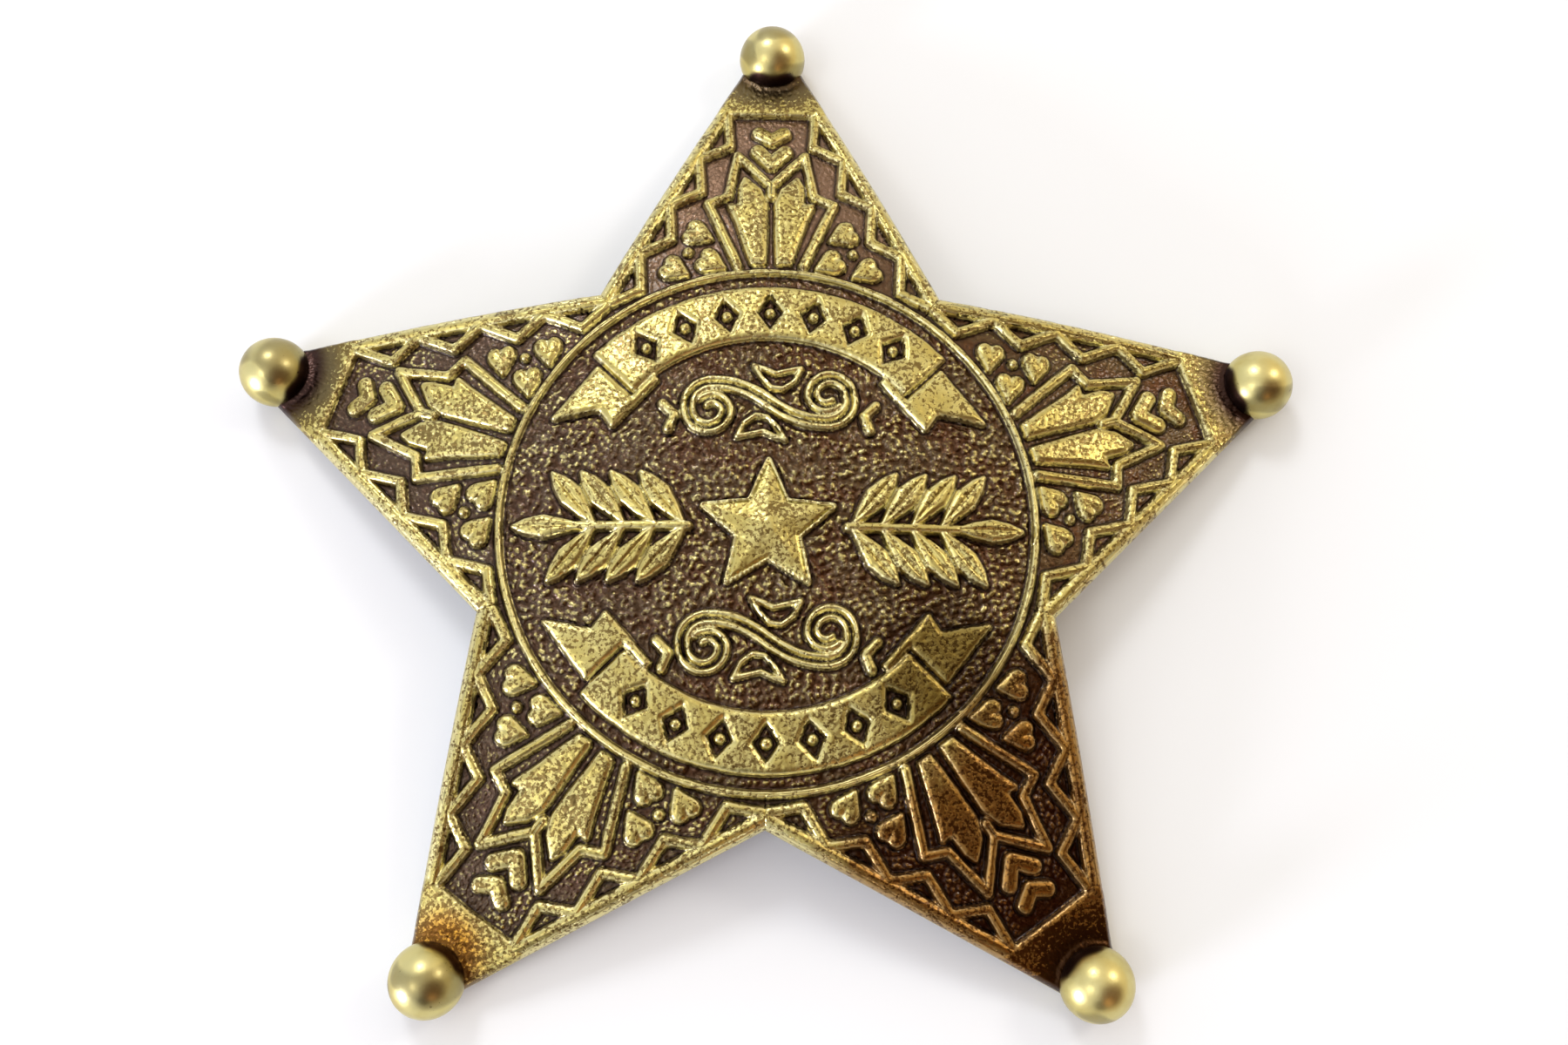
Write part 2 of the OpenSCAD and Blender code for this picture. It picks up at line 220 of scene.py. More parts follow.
def closed_casting(name, grid, values, middle):
    """A closed solid from a grid of surface points. The grid's quads are cut along the diagonal
    whose ends differ less in the value `depth`, so that edges of the relief stay whole. Round the
    grid's border a wall goes down into the plate, and a fan of triangles round a point below the
    middle closes the base."""
    rows, columns = grid.shape[:2]
    index = np.arange(rows * columns).reshape(rows, columns)
    a, b, c, d = index[:-1, :-1], index[:-1, 1:], index[1:, 1:], index[1:, :-1]
    depth = values["depth"]
    straight = np.abs(depth[a] - depth[c]) < np.abs(depth[b] - depth[d])
    first = np.where(straight[..., None], np.stack([a, b, c], -1), np.stack([a, b, d], -1))
    second = np.where(straight[..., None], np.stack([a, c, d], -1), np.stack([b, c, d], -1))
    border = np.concatenate([index[0, :-1], index[:-1, -1], index[-1, :0:-1], index[:0:-1, 0]])
    count = len(border)
    low = np.arange(count) + rows * columns
    onward, onward_low = np.roll(border, -1), np.roll(low, -1)
    wall = np.concatenate([np.c_[onward, border, low], np.c_[onward, low, onward_low]])
    fan = np.c_[onward_low, low, np.full(count, low[-1] + 1)]
    points = grid.reshape(-1, 3)
    skirt = points[border].copy()
    skirt[:, 2] = on_dome(skirt[:, :2], ground_r - skirt_h)
    pole = [*middle, on_dome(np.array(middle), ground_r - 2 * skirt_h)]
    top = np.concatenate([first.reshape(-1, 3), second.reshape(-1, 3)])
    faces = np.concatenate([top, wall, fan])
    points = np.concatenate([points, skirt, [pole]])
    unseen = {"depth": -1.0, "relief": 0.0, "tarnish_and_shade": 0.0}
    values = {k: np.concatenate([v, np.full(count + 1, unseen[k])]) for k, v in values.items()}
    return solid(name, points, faces, values, smooth_faces=len(top))


def solid(name, points, faces, values, smooth_faces=None):
    """A mesh from points in mm, round the star's middle, and triangles. Each named value becomes
    a point attribute. Only the first smooth_faces faces are shaded smooth, or all without it."""
    points = (np.asarray(points, float) + [0, middle_y, 0]) * MM
    mesh = bpy.data.meshes.new(name)
    mesh.vertices.add(len(points))
    mesh.vertices.foreach_set("co", points.astype(np.float32).ravel())
    mesh.loops.add(faces.size)
    mesh.loops.foreach_set("vertex_index", faces.astype(np.int32).ravel())
    mesh.polygons.add(len(faces))
    mesh.polygons.foreach_set("loop_start", np.arange(len(faces), dtype=np.int32) * 3)
    mesh.polygons.foreach_set("use_smooth", np.arange(len(faces)) < (smooth_faces or len(faces)))
    for key, value in values.items():
        mesh.attributes.new(key, "FLOAT", "POINT").data.foreach_set("value", value.astype(np.float32))
    mesh.update(calc_edges=True)
    mesh.validate()
    piece = bpy.data.objects.new(name, mesh)
    bpy.context.scene.collection.objects.link(piece)
    return piece


def cast_surface(plan, depth, lift, ground, top):
    """The cast face over a plan. The flank is a smooth step between its foot and its shoulder,
    and the top rounds off toward its edges. `lift` raises the top, and `ground` and `top` are the
    unevenness of the casting there, all in mm. Returns the points and how far up each one is."""
    up = smooth((depth + flank + shoulder) / (flank + 2 * shoulder))
    crown = smooth(depth / crown_w)
    radius = ground_r + relief_h * up - crown_drop * up * (1 - crown) + lift * up
    radius += ground * (1 - up) + top * up
    return np.c_[plan, on_dome(plan, radius)], up


def rubbed_top(plan, depth):
    """The unevenness of a raised top in mm: slow swells, some round pits, and a grain that sets
    in 0.2 mm from the edge, where the rubbing didn't reach."""
    pits = 0.02 * lumps(plan, 1.6, 5) - 0.025 * grains(plan, 0.55, 6, 0.35)
    return pits + 0.014 * (grains(plan, 0.26, 7) - 0.5) * smooth((depth - 0.2) / 0.3)


ribbon_half, lozenge_span = 46, 35  # degrees to either side
lozenges, lozenge_l, lozenge_w = 7, 2.7, 1.9
ribbon_in, ribbon_out = 0.714 * ring_r, 0.929 * ring_r
ribbon_tail = np.array([
    [0.439, 0.558], [0.519, 0.466], [0.653, 0.596], [0.824, 0.380], [0.635, 0.416],
    [0.589, 0.348], [0.419, 0.538],
]) * ring_r
scroll_y, scroll_line, scroll_gap, sprig_line = 0.450 * ring_r, 0.22, 0.64, 0.18
spiral_mid, spiral_step = (-4.05, -0.5), 13.5
spiral_radii = np.array([[90, 1.85], [180, 1.32], [270, 1.3], [360, 1.2], [450, 0.68], [495, 0.58]])
band_steps = 12
band_bend = np.array([[0, 0], [-1.2, 0.85], [-2.3, 1.45], [-4.05, 1.35]])
sprig = np.array([
    [-1.3, 2.8], [-0.35, 2.5], [0.4, 2.15], [1.2, 2.35], [2.3, 2.6], [1.75, 1.45],
    [0.95, 0.85], [0.1, 0.95], [-0.6, 1.7],
])
bracket, bracket_w = [[7.2, 0], [6.3, -0.9], [6.75, -2]], 0.5
emblem_h, emblem_y, emblem_waist, emblem_corner = 8.6, -0.034 * ring_r, 0.46, 0.12
emblem_r = emblem_h / (1 + cos(radians(36)))
ridge_run, ridge_h = 1.9, 0.3  # the star rises from its edge to its ridges
leaf_pairs, leaf_l, leaf_w, leaf_angle, stem_w = 4, 4.9, 1.5, 50, 0.45
branch_x, branch_end = 1.06 * emblem_r, 0.76 * ring_r
first_pair, pair_pitch, end_leaf = 0.15, 0.93, 0.3  # shares of a pair's step and of a leaf
leaf_half = np.array([[0, 0], [0.3, 0.62], [0.55, 1], [0.8, 0.66], [1, 0]])
vein_from, vein_to, vein_w, vein_h = 0.12, 0.86, 0.11, 0.16


def scroll_path():
    """The middle line of a scroll: a cubic curve from its centre out to a spiral whose radius is
    read from the table at each angle, and the same turned half round."""
    t = (np.arange(band_steps) / band_steps)[:, None]
    band = ((1 - t)**3 * band_bend[0] + 3 * (1 - t)**2 * t * band_bend[1]
            + 3 * (1 - t) * t**2 * band_bend[2] + t**3 * band_bend[3])
    angle = np.arange(spiral_radii[0, 0], spiral_radii[-1, 0] + 1, spiral_step)
    radius = np.interp(angle, *spiral_radii.T)
    spiral = np.c_[np.cos(np.radians(angle)), np.sin(np.radians(angle))] * radius[:, None]
    half = np.vstack([band, spiral + spiral_mid])
    return np.vstack([half[::-1], -half[1:]])


def leaves():
    """For each laurel leaf its outline and the line of its vein, on the right-hand branch."""
    leaf = np.vstack([leaf_half, (leaf_half * [1, -1])[-2:0:-1]]) * [leaf_l, leaf_w / 2]
    step = (branch_end - branch_x) / leaf_pairs * pair_pitch
    spots = [(branch_x + (i + first_pair) * step, side * leaf_angle)
             for i in range(leaf_pairs) for side in (1, -1)]
    spots.append((branch_end - leaf_l * end_leaf, 0))
    vein = np.array([[vein_from * leaf_l, 0], [vein_to * leaf_l, 0]])
    return [(turned(leaf, angle) + [x, emblem_y], turned(vein, angle) + [x, emblem_y])
            for x, angle in spots]


# The ornament of the medallion, on a grid that maps a square to the disc: a point at a, b of the
# square lies at the larger of the two as its radius, and at their quotient times 45 degrees.
disc_cells = 310
square = np.linspace(-1, 1, disc_cells + 1)
b, a = np.meshgrid(square, square, indexing="ij")
wide = np.abs(a) > np.abs(b)
reach_out = np.where(wide, a, b)
quotient = np.where(wide, b, a) / np.where(reach_out == 0, 1, reach_out)
bearing = np.where(wide, np.pi / 4 * quotient, np.pi / 2 - np.pi / 4 * quotient)
disc = np.stack([reach_out * np.cos(bearing), reach_out * np.sin(bearing)], -1).reshape(-1, 2)
disc *= ring_r
medallion = Relief(disc)
bend = np.radians(np.linspace(90 - ribbon_half, 90 + ribbon_half, 49))
bow = np.c_[np.cos(bend), np.sin(bend)]
ribbon = np.vstack([bow * ribbon_out, bow[::-1] * ribbon_in])
lozenge = np.array([[0, lozenge_l / 2], [lozenge_w / 2, 0], [0, -lozenge_l / 2], [-lozenge_w / 2, 0]])
lozenge_at = [0, (ribbon_in + ribbon_out) / 2]
for flip in (1, -1):
    medallion.outline(ribbon * [1, flip], corner=corner_r)
    for i in range(lozenges):
        lean = (i - (lozenges - 1) / 2) * 2 * lozenge_span / (lozenges - 1)
        medallion.outline(turned(lozenge + lozenge_at, lean) * [1, flip], sunk=True)
        medallion.bead(turned([lozenge_at], lean)[0] * [1, flip], bead_d / 2)
    for side in (1, -1):
        medallion.outline(ribbon_tail * [side, flip], corner=corner_r)
        scroll_at = [0, flip * scroll_y]
        medallion.line(beside(scroll_path(), side * scroll_gap / 2) + scroll_at, scroll_line)
        medallion.line(np.array(bracket) * [side, 1] + scroll_at, bracket_w)
        medallion.outline(sprig * side + scroll_at, corner=corner_r)
        medallion.outline(drawn_in(sprig, sprig_line) * side + scroll_at, sunk=True)
emblem = Relief(disc)
veins = np.full(len(disc), 9.0)
spokes = np.arange(10)
spoke_l = np.where(spokes % 2 == 0, emblem_r, emblem_waist * emblem_r)[:, None]
spoke = np.radians(90 + 36 * spokes)
emblem.outline(np.c_[np.cos(spoke), np.sin(spoke)] * spoke_l + [0, emblem_y], corner=emblem_corner)
star_depth = emblem.depth.copy()
for side in (1, -1):
    emblem.line([[side * branch_x, emblem_y], [side * branch_end, emblem_y]], stem_w)
    for leaf, vein in leaves():
        emblem.outline(leaf * [side, 1], corner=corner_r)
        veins = np.minimum(veins, np.abs(inside(disc, vein * [side, 1])[0]))
is_emblem = emblem.depth > medallion.depth
medallion.put(np.arange(len(disc)), emblem.depth, emblem.toward)
from_middle = np.linalg.norm(disc, axis=1)
medallion.put(np.arange(len(disc)), ring_w / 2 + from_middle - ring_r,
              disc / np.maximum(from_middle, 1e-9)[:, None])

wobble = 0.03 * lumps(disc, 0.8, 1)
on_ring = from_middle > ring_r - 0.001
cell = ring_r / disc_cells * 1.55  # a little less than a cell's width at the ring
plan, depth = drawn_to_lines(disc, medallion.depth + np.where(on_ring, 0, wobble), medallion.toward,
                             cell, cell, ~on_ring)
roof = (np.clip(star_depth / ridge_run, 0, 1) - 1) * ridge_h
lift = emblem_lift * is_emblem + np.where(star_depth > 0.02, roof, 0)
groove = np.exp(-((veins / vein_w)**2)) * smooth((depth - 0.08) / 0.2)
lift -= vein_h * is_emblem * (star_depth < 0) * groove
# sand grains of 0.44 mm, weaker in patches, and none right at the foot of a flank
grain = grains(plan, 0.44, 2, 0.58) * smooth((-depth - 0.24) / 0.14)
grain *= 0.68 + 0.32 * smooth(lumps(plan, 2.0, 8) + 0.6)
stipple = 0.17 * grain + 0.05 * lumps(plan, 0.24, 3) + 0.03 * lumps(plan, 1.3, 4) - 0.08
points, up = cast_surface(plan, depth, lift, stipple, rubbed_top(plan, depth))
shape = (disc_cells + 1, disc_cells + 1)
medallion_face = closed_casting(
    "medallion_face", points.reshape(*shape, 3),
    {"relief": up + (1 - up) * 0.34 * grain, "depth": depth, "tarnish_and_shade": np.zeros(len(up))}, (0, 0),
)


def node(tree, kind, inputs=None, **settings):
    """A shader node with its settings, and its inputs linked to sockets or set to values."""
    made = tree.nodes.new(kind)
    for key, value in settings.items():
        setattr(made, key, value)
    for key, value in (inputs or {}).items():
        if isinstance(value, bpy.types.NodeSocket):
            tree.links.new(value, made.inputs[key])
        else:
            made.inputs[key].default_value = value
    return made


def maths(tree, operation, *values):
    """The result of one Math node."""
    return node(tree, "ShaderNodeMath", dict(enumerate(values)), operation=operation).outputs[0]


def mixed(tree, share, first, second):
    """Two colours mixed by a share from 0 to 1."""
    made = node(tree, "ShaderNodeMix", {0: share, 6: first, 7: second}, data_type="RGBA")
    return made.outputs[2]


def step_up(tree, value, low, high):
    """0 at low and 1 at high, with a smooth change between and none outside. Where low is the
    larger, it rises as the value falls."""
    made = node(tree, "ShaderNodeMapRange", {0: value, 1: low, 2: high, 3: 0.0, 4: 1.0},
                interpolation_type="SMOOTHSTEP")
    return made.outputs[0]


def noise(tree, place, scale, detail=2.0, rough=0.6):
    """Noise from 0 to 1 with so many swings to a metre."""
    return node(tree, "ShaderNodeTexNoise", {"Vector": place, "Scale": scale, "Detail": detail,
                                            "Roughness": rough}).outputs["Fac"]


# The patina's colours: hollows, and their painted grey-violet reflection to the left; worn brass, and its
# paler edges, partly a painted highlight; the grime in its pores, and its darker tone round a ball, partly
# painted shade; and three painted reflections, by which the metal's own colour is multiplied.
umber, grey_umber = (0.078, 0.033, 0.014, 1), (0.098, 0.060, 0.028, 1)
cool_reflection_umber, deep_umber = (0.088, 0.056, 0.040, 1), (0.030, 0.013, 0.006, 1)
thin_plating, relief_foot = (0.205, 0.125, 0.080, 1), (0.022, 0.012, 0.009, 1)
brass, pale_brass = (0.52, 0.43, 0.135, 1), (0.61, 0.54, 0.215, 1)
cream_wear_and_highlight, neck_brown = (0.76, 0.70, 0.38, 1), (0.040, 0.020, 0.016, 1)
pore_dirt, neck_dirt_and_shade = (0.125, 0.070, 0.018, 1), (0.060, 0.032, 0.020, 1)
untinted, amber_reflection = (1, 1, 1, 1), (0.46, 0.27, 0.175, 1)
olive_reflection, olive_at, olive_reach = (0.42, 0.36, 0.26, 1), (11.0 * MM, -12.8 * MM, 6.0 * MM), 6.5 * MM
warm_reflection, warm_reflection_at, warm_reflection_reach = (1.0, 0.6, 0.26, 1), (-20.2 * MM, -31.0 * MM, 3.0 * MM), 3.6 * MM
amber_way, amber_from, amber_full = (0.68, -0.73, 0.0), 17.8 * MM, 23.3 * MM


def patina_group():
    """Antique brass. The plating is brown in hollows, black-brown along the foot of the relief, and rubbed
    back to pale yellow brass on what stands up, where dark specks stay in its pores; the edges of the tops
    are paler still, partly from rubbing and partly a painted highlight. It is thinner on the top arm, and
    greyer to the left with a painted reflection of cool light. Round a ball it is darker and browner,
    partly tarnish and partly painted shade. Three painted reflections are multiplied in: amber over the
    arm at the lower right, olive on the lower ribbon, warm orange beside the ball at the lower left.
    Elsewhere a clear coat is left as a gloss on the flanks and on the sand's grains."""
    tree = bpy.data.node_groups.new("antique_patina", "ShaderNodeTree")
    for name, start in (("Relief", 1.0), ("Depth", 1.0), ("Tarnish_and_shade", 0.0), ("Specks", 0.0),
                        ("Polish", 0.0), ("Painted_reflections", 1.0)):
        socket = tree.interface.new_socket(name, in_out="INPUT", socket_type="NodeSocketFloat")
        socket.default_value = start
    for name, kind in (("Color", "Color"), ("Roughness", "Float"), ("Height", "Float"), ("Coat", "Float")):
        tree.interface.new_socket(name, in_out="OUTPUT", socket_type="NodeSocket" + kind)
    given = node(tree, "NodeGroupInput").outputs
    place = node(tree, "ShaderNodeTexCoord").outputs["Object"]
    to_the_right, up_the_star, _ = node(tree, "ShaderNodeSeparateXYZ", {0: place}).outputs
    patches, specks = noise(tree, place, 420, 3.0), noise(tree, place, 3900, 3.0, 0.65)
    fine = noise(tree, place, 9000, 2.0)

    hollow = mixed(tree, step_up(tree, patches, 0.38, 0.62), umber, grey_umber)
    # painted reflection of cool light: the hollows turn grey-violet toward the left
    cool_reflection_share = maths(tree, "MULTIPLY", step_up(tree, to_the_right, 4 * MM, -22 * MM), 0.7)
    hollow = mixed(tree, cool_reflection_share, hollow, cool_reflection_umber)
    valley = maths(tree, "SUBTRACT", 0.7, step_up(tree, given["Relief"], -0.05, 0.12))
    hollow = mixed(tree, valley, hollow, deep_umber)
    on_top_arm = maths(tree, "MULTIPLY", step_up(tree, up_the_star, 10.5 * MM, 20.5 * MM), 0.9)
    hollow = mixed(tree, on_top_arm, hollow, thin_plating)
    foot = maths(tree, "MULTIPLY", step_up(tree, given["Depth"], -0.42, -0.22), 0.75)
    hollow = mixed(tree, foot, hollow, relief_foot)

    pale = mixed(tree, step_up(tree, patches, 0.35, 0.65), brass, pale_brass)
    # the edges of the tops turn paler: partly rubbed wear, partly a painted highlight
    wear_and_highlight = maths(tree, "MULTIPLY", step_up(tree, given["Depth"], 0.16, 0.02),
                  step_up(tree, given["Depth"], -0.25, -0.1))
    pale = mixed(tree, maths(tree, "MULTIPLY", wear_and_highlight, 0.6), pale, cream_wear_and_highlight)
    # specks crowd in patches and away from the edges
    amount = maths(tree, "MULTIPLY_ADD", patches, 0.36, 0.24)
    amount = maths(tree, "MULTIPLY_ADD", step_up(tree, given["Depth"], 0.05, 0.4), 0.07, amount)
    # round a ball the specks crowd and darken and the brass turns brown: partly tarnish, partly painted
    # shade
    amount = maths(tree, "MULTIPLY_ADD", given["Tarnish_and_shade"], 0.26, amount)
    amount = maths(tree, "ADD", amount, given["Specks"])
    dark = step_up(tree, maths(tree, "SUBTRACT", amount, specks), -0.01, 0.05)
    speck_dirt_and_shade = mixed(tree, step_up(tree, given["Tarnish_and_shade"], 0.0, 0.5), pore_dirt, neck_dirt_and_shade)
    worn = mixed(tree, maths(tree, "MULTIPLY", dark, 0.85), pale, speck_dirt_and_shade)
    worn = mixed(tree, step_up(tree, given["Tarnish_and_shade"], 0.45, 0.95), worn, neck_brown)

    high = maths(tree, "MULTIPLY_ADD", maths(tree, "SUBTRACT", specks, 0.5), 0.5, given["Relief"])
    high = step_up(tree, high, 0.16, 0.42)
    color = mixed(tree, high, hollow, worn)

    # painted reflections: olive at the right end of the lower ribbon, warm orange beside the ball at the
    # lower left
    near_reflection = []
    for spot, reach in ((olive_at, olive_reach), (warm_reflection_at, warm_reflection_reach)):
        distance = node(tree, "ShaderNodeVectorMath", {0: place, 1: spot},
                        operation="DISTANCE").outputs["Value"]
        covered = step_up(tree, distance, reach, 0.38 * reach)
        near_reflection.append(maths(tree, "MULTIPLY", covered, given["Painted_reflections"]))
    olive, warm_reflection_share = near_reflection
    # painted reflection: the arm at the lower right takes an amber cast from brown surroundings
    lower_right = node(tree, "ShaderNodeVectorMath", {0: place, 1: amber_way},
                       operation="DOT_PRODUCT").outputs["Value"]
    ragged = maths(tree, "SUBTRACT", patches, 0.5)
    lower_right = maths(tree, "MULTIPLY_ADD", ragged, 8 * MM, lower_right)
    amber = maths(tree, "MULTIPLY", step_up(tree, lower_right, amber_from, amber_full), given["Painted_reflections"])
    amber = maths(tree, "MULTIPLY", amber, maths(tree, "MULTIPLY_ADD", wear_and_highlight, -0.15, 1.0))
    # the three painted reflections are multiplied into the colour
    painted_tint = mixed(tree, olive, untinted, olive_reflection)
    painted_tint = mixed(tree, warm_reflection_share, painted_tint, warm_reflection)
    painted_tint = mixed(tree, amber, painted_tint, amber_reflection)
    color = node(tree, "ShaderNodeMix", {0: 1.0, 6: color, 7: painted_tint}, data_type="RGBA",
                 blend_type="MULTIPLY").outputs[2]

    rough = maths(tree, "MULTIPLY_ADD", high, -0.02, 0.26)
    rough = maths(tree, "SUBTRACT", maths(tree, "MULTIPLY_ADD", fine, 0.12, rough), given["Polish"])
    height = maths(tree, "MULTIPLY_ADD", fine, 0.5, specks)
    height = maths(tree, "MULTIPLY_ADD", dark, -0.5, height)
    height = maths(tree, "MULTIPLY", height, maths(tree, "MULTIPLY_ADD", high, -0.5, 1.0))
    # little gloss on the tops and in the valleys, and the most of it halfway up a flank
    coat = maths(tree, "MULTIPLY", given["Relief"], maths(tree, "SUBTRACT", 1.0, given["Relief"]))
    coat = maths(tree, "MULTIPLY_ADD", coat, 2.6, 0.1)
    node(tree, "NodeGroupOutput", {"Color": color, "Roughness": rough, "Height": height, "Coat": coat})
    return tree


patina = patina_group()


def antique_brass(name, bump, specks=0.0, polish=0.0, painted_reflections=1.0):
    """Brass with the patina above. The mesh's own values say how far up the relief each point is, how deep
    inside it, and how much tarnish and painted shade it takes near a ball. Bump is the depth of its pores
    in mm, specks below 0 are fewer dark specks, polish is taken off the roughness, and with painted
    reflections at 0 it has none of the three painted reflections."""
    material = bpy.data.materials.new(name)
    material.use_nodes = True
    tree = material.node_tree
    shader = tree.nodes["Principled BSDF"]
    shader.inputs["Metallic"].default_value = 1.0
    shader.inputs["Coat Roughness"].default_value = 0.06
    shown = node(tree, "ShaderNodeGroup", node_tree=patina)
    for key, value in (("Relief", "relief"), ("Depth", "depth"), ("Tarnish_and_shade", "tarnish_and_shade")):
        own = node(tree, "ShaderNodeAttribute", attribute_name=value)
        tree.links.new(own.outputs["Fac"], shown.inputs[key])
    shown.inputs["Specks"].default_value = specks
    shown.inputs["Polish"].default_value = polish
    shown.inputs["Painted_reflections"].default_value = painted_reflections
    bumps = node(tree, "ShaderNodeBump", {"Height": shown.outputs["Height"], "Distance": bump * MM,
                                          "Strength": 1.0})
    for key, value in (("Color", "Base Color"), ("Roughness", "Roughness"), ("Coat", "Coat Weight")):
        tree.links.new(shown.outputs[key], shader.inputs[value])
    tree.links.new(bumps.outputs[0], shader.inputs["Normal"])
    return material


cast_brass = antique_brass("antique_brass_medallion", 0.03)


def finished(piece, material):
    """A piece of the casting, which stands for the CAD's star."""
    piece.data.materials.append(material)
    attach(piece, "root")
    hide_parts("star")


finished(medallion_face, cast_brass)

# The five arms are cast in one with the medallion. Each has a bevelled rim, a zigzag along both
# sides, a palmette with two petals, two chevrons and six hearts, and ends in a plain panel below
# its ball. The relief is the same on all of them, and the sand's unevenness isn't.
tip_run, valley_r = 3.45, 19.8  # an arm's sides would meet this far past its ball's middle
rim_bevel, rim_w, rim_drop = 0.35, 0.45, 0.42
zigzag_w, zigzag_depth, zigzag_cells, turn_share = 0.32, 1.45, 4, 0.44
panel_r, chevron_w, palmette_w, heart_l, petal_corner = 31.05, 0.75, 0.3, 2.1, 0.14
swell = 0.2  # a line's rounded top is wider than the flat one of its plan
collar_w, collar_h, neck_w = 0.5, 0.12, 3.2  # the casting rises round a ball, and is darker there: partly tarnish, partly painted shade
arm_end = star_r - ball_d / 16
arm_middle = 22.3  # where the base of an arm's face is closed
tip = np.array([0, star_r + tip_run])
corner = valley_r * np.array([sin(radians(36)), cos(radians(36))])
side_dir = (tip - corner) / np.linalg.norm(tip - corner)
side_out = np.array([side_dir[1], -side_dir[0]])
side_d = tip @ side_out
side_angle = np.degrees(atan2(side_out[1], side_out[0]))
ornament_l = panel_r - ring_r
chevrons = [(0.086, 0.890, 0.832), (0.090, 0.772, 0.672)]
palmette = np.array([[0, 0.526], [0.179, 0.728], [0.224, 0.463], [0.328, 0.414], [0.164, 0.026]])
palmette_stem = np.array([[0, 0.55], [0, 0.451]])
petal = np.array([
    [0.142, 0.586], [0.168, 0.519], [0.168, 0.407], [0.231, 0.414], [0.190, 0.317],
    [0.146, 0.183], [0.101, 0.045], [0.030, 0.045], [0.022, 0.250], [0.022, 0.414],
    [0.056, 0.504],
])
heart_tips = np.array([[0.299, 0.190], [0.414, -0.022], [0.228, 0.019]])
bead_at = np.array([[0.425, 0.119]])
heart_half = np.array([
    [0, 0], [0.52, 0.36], [0.68, 0.43], [0.84, 0.41], [0.96, 0.30], [0.98, 0.17], [0.92, 0.05],
    [0.80, 0],
])


def on_arm(shares):
    """Places on the top arm from shares of the length between the ring and the panel."""
    return np.asarray(shares) * ornament_l + [0, ring_r]


def zigzag():
    """The path of the zigzag along the right side, with its turns at even steps along that side."""
    outer = rim_bevel + rim_w + zigzag_w / 2 - flank / 4
    first = -outer * (corner @ side_dir) / side_d
    last = (panel_r - corner[1] + outer * side_out[1]) / side_dir[1]
    step = (last - first) / zigzag_cells
    along = [first + (i // 2 + turn_share * (i % 2)) * step for i in range(2 * zigzag_cells + 1)]
    inset = [outer + zigzag_depth * (i % 2) for i in range(2 * zigzag_cells + 1)]
    return corner + np.outer(along, side_dir) - np.outer(inset, side_out)


# The plan of the top arm is a fan of arcs round the star's middle. Up to the valleys an arc is a
# fifth of a circle, and past them it ends on the arm's two sides.
arm_columns = 4 * disc_cells // 5
rows_to_valley, rows_to_end = 22, 150
rows_out = np.r_[np.linspace(ring_r, valley_r, rows_to_valley),
                 np.linspace(valley_r, arm_end, rows_to_end)[1:]]
along_side = np.sqrt(np.maximum(rows_out**2 - side_d**2, 0))
on_side = side_d * side_out + along_side[:, None] * side_dir
half = np.where(rows_out <= valley_r, radians(36), np.arctan2(on_side[:, 0], on_side[:, 1]))
across = np.linspace(1, -1, arm_columns + 1)
angle = np.pi / 2 + half[:, None] * across
arm = np.stack([rows_out[:, None] * np.cos(angle), rows_out[:, None] * np.sin(angle)], -1)
arm_shape = arm.shape
arm = arm.reshape(-1, 2)
folded = np.c_[np.abs(arm[:, 0]), arm[:, 1]]
sign = np.where(arm[:, :1] < 0, [[-1.0, 1.0]], [[1.0, 1.0]])
relief = Relief(folded)
everywhere = np.arange(len(arm))
inset = side_d - folded @ side_out
relief.outline(on_arm(petal), corner=petal_corner)
heart = turned(np.vstack([heart_half, (heart_half * [1, -1])[-2:0:-1]]) * heart_l, side_angle)
for spot in heart_tips:
    relief.outline(heart + on_arm(spot), corner=corner_r)
relief.bead(on_arm(bead_at)[0], bead_d / 2)
for width, end, point in chevrons:
    relief.line(on_arm([[-width, end], [0, point], [width, end]]), chevron_w + swell)
relief.line(on_arm(np.vstack([(palmette * [-1, 1])[:0:-1], palmette])), palmette_w + swell)
relief.line(on_arm(palmette_stem), palmette_w + swell)
relief.line(zigzag(), zigzag_w + swell)
ray = corner / valley_r
# the next arm's zigzag, mirrored in the line from the middle to the valley
relief.line(2 * np.outer(zigzag() @ ray, ray) - zigzag(), zigzag_w + swell)
relief.outline([[-3, panel_r], [4, panel_r], [4, star_r + 3], [-3, star_r + 3]])
rim_mid = rim_bevel + (rim_w + swell) / 2
toward_rim = np.where((inset > rim_mid)[:, None], side_out, -side_out)
relief.put(everywhere, (rim_w + swell) / 2 - np.abs(inset - rim_mid), toward_rim)
from_middle = rows_out.repeat(arm_columns + 1)
relief.put(everywhere, ring_w / 2 - (from_middle - ring_r), -folded / from_middle[:, None])
toward = relief.toward * sign
from_ball = np.linalg.norm(arm - [0, star_r], axis=1)
column = (2 * half / arm_columns * rows_out).repeat(arm_columns + 1)
row = np.gradient(rows_out).repeat(arm_columns + 1)
free = np.ones(arm_shape[:2], bool)
free[0] = free[-1] = free[:, 0] = free[:, -1] = False
free = free.ravel()
edge_drop = rim_drop * np.clip(1 - inset / rim_bevel, 0, 1)**2
collar = collar_h * (1 - smooth((from_ball - ball_d / 2 + 0.05) / collar_w))
